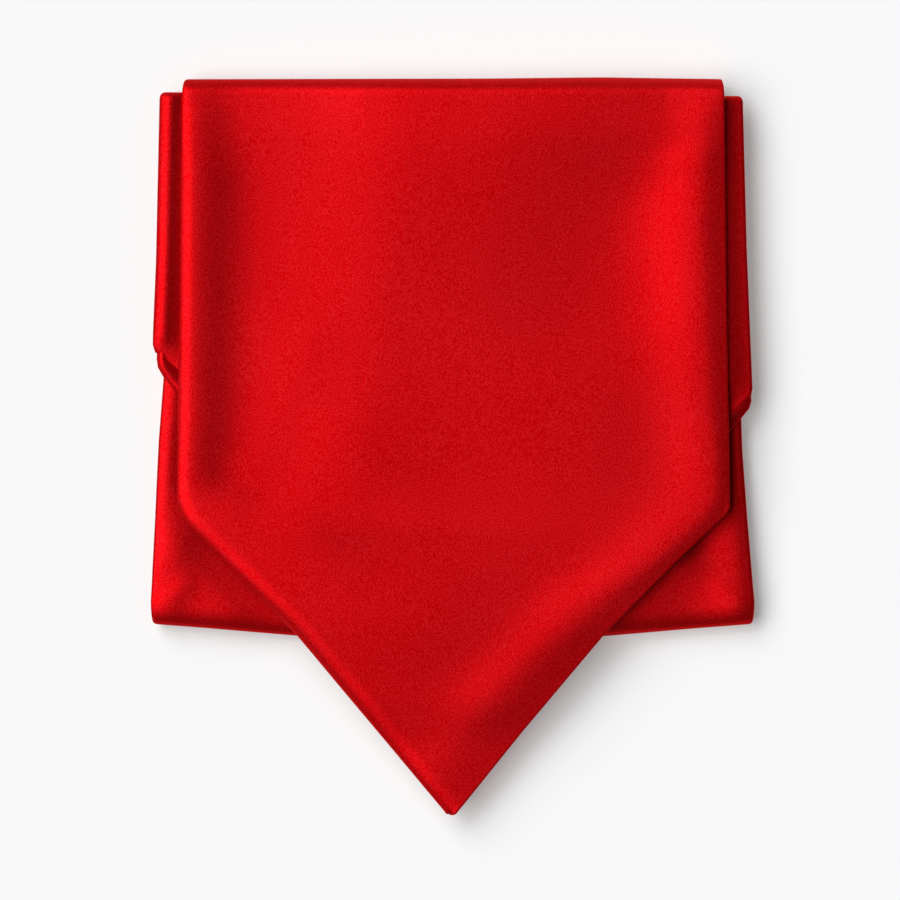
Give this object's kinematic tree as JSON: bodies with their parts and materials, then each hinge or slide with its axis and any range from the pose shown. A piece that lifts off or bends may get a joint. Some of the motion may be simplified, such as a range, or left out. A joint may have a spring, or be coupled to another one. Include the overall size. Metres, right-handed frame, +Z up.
{
  "type": "folded silk cravat",
  "caption": "Folded silk satin cravat lying flat: a pointed front blade over the rear blade and a lower fold with a rolled edge",
  "frame": {"origin": "On the surface the cravat lies on, under the middle of the packet's width and length", "axes": "+Z is up out of the packet, the blade's point is toward -Y, and +X is the packet's right side seen from above"},
  "size_m": [0.1702, 0.2085, 0.0135],
  "materials": {
    "silk_satin": "satin"
  },
  "bodies": {
    "root": {"front_blade": "silk_satin", "rear_blade_face": "silk_satin", "rear_blade_back": "silk_satin", "lower_fold": "silk_satin", "hidden_folds": "silk_satin"}
  },
  "joints": []
}
